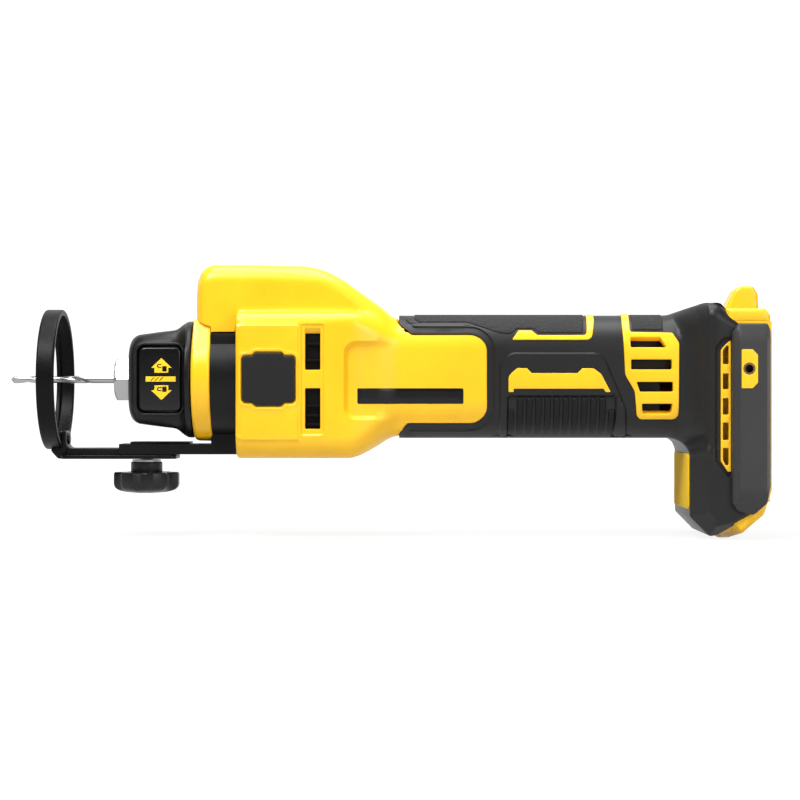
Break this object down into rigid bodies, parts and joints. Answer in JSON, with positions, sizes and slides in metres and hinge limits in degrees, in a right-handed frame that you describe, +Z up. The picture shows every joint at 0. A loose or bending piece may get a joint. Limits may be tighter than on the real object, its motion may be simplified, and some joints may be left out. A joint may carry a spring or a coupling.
{
  "type": "drywall cut out tool",
  "caption": "Hand-held rotary cut out tool with a straight grip, rail foot for a battery, twist collar, spiral bit, and a sliding depth guide clamped by a knob.",
  "frame": {"origin": "bottom centre of the box round the whole tool, with the spindle axis level 65 mm above it", "axes": "+X along the spindle axis from the bit towards the foot, +Z up, -Y the side that the picture shows"},
  "size_m": [0.3132, 0.076, 0.1125],
  "materials": {
    "yellow_plastic": "fine moulded texture, satin",
    "black_rubber": "soft matte overmould",
    "black_plastic": "moulded, satin",
    "black_metal": "black coated steel",
    "bright_steel": "ground steel",
    "zinc_steel": "zinc plated",
    "aluminium": "extruded, plain",
    "laminated_steel": "stacked sheets",
    "magnet": "coated",
    "copper_wire": "enamelled copper",
    "white_plastic": "moulded",
    "board_green": "solder mask",
    "clear_lens": "clear moulded lens",
    "red_sleeve": "wire sleeve",
    "black_sleeve": "wire sleeve",
    "white_sleeve": "wire sleeve",
    "brass_contact": "plated blades"
  },
  "bodies": {
    "tool": {"housing_left": "yellow_plastic", "housing_right": "yellow_plastic", "grip_left": "black_rubber", "grip_right": "black_rubber", "side_pad_left": "black_plastic", "side_pad_right": "black_plastic", "rail_cover_left": "black_rubber", "rail_cover_right": "black_rubber", "hook_badges": "yellow_plastic", "hook_inserts": "zinc_steel", "housing_screws": "zinc_steel", "front_ring": "yellow_plastic", "nose_casting": "black_metal", "guide_bracket": "black_metal", "bracket_screws": "zinc_steel", "nut_plate": "black_metal", "front_bearing_outer": "bright_steel", "bearing_circlip": "zinc_steel", "collar_circlip": "zinc_steel", "rear_bearing_outer": "bright_steel", "bearing_sleeve": "black_rubber", "stator_core": "laminated_steel", "stator_coils": "copper_wire", "stator_insulators": "white_plastic", "sensor_board": "board_green", "motor_leads": "white_sleeve", "switch_module": "black_plastic", "led_lens": "clear_lens", "led_board": "board_green", "heat_sink": "aluminium", "controller_board": "board_green", "power_stage": "black_plastic", "capacitors": "black_plastic", "lead_positive": "red_sleeve", "lead_negative": "black_sleeve", "terminal_block": "black_plastic", "terminal_blades": "brass_contact"},
    "guide": {"guide_ring": "black_plastic", "guide_bar": "black_metal", "guide_rivet": "zinc_steel"},
    "knob": {"knob": "black_plastic", "knob_stud": "zinc_steel", "knob_washer": "zinc_steel"},
    "collar": {"lock_collar": "black_plastic", "collar_pad_left": "black_rubber", "collar_pad_right": "black_rubber"},
    "spindle": {"spindle": "bright_steel", "rotor_core": "laminated_steel", "rotor_magnets": "magnet", "fan": "black_plastic", "collet": "bright_steel", "collet_nut": "bright_steel", "front_bearing_inner": "bright_steel", "rear_bearing_inner": "bright_steel", "front_bearing_balls": "bright_steel", "rear_bearing_balls": "bright_steel"},
    "bit": {"cutting_bit": "bright_steel"},
    "slider": {"switch_slider": "black_plastic"}
  },
  "joints": [
    {"name": "spindle_spin", "type": "hinge", "parent": "tool", "child": "spindle", "pos_m": [-0.0605, 0, 0.065], "axis": [1, 0, 0], "continuous": true},
    {"name": "bit_draw", "type": "slide", "parent": "spindle", "child": "bit", "axis": [-1, 0, 0], "range_m": [0, 0.02]},
    {"name": "collar_twist", "type": "hinge", "parent": "tool", "child": "collar", "pos_m": [-0.0905, 0, 0.065], "axis": [-1, 0, 0], "range_deg": [0, 30]},
    {"name": "guide_slide", "type": "slide", "parent": "tool", "child": "guide", "axis": [1, 0, 0], "range_m": [-0.005, 0.02]},
    {"name": "knob_turn", "type": "hinge", "parent": "tool", "child": "knob", "pos_m": [-0.0997, 0, 0.025], "axis": [0, 0, -1], "range_deg": [0, 360]},
    {"name": "power_slide", "type": "slide", "parent": "tool", "child": "slider", "axis": [-1, 0, 0], "range_m": [0, 0.005]}
  ]
}
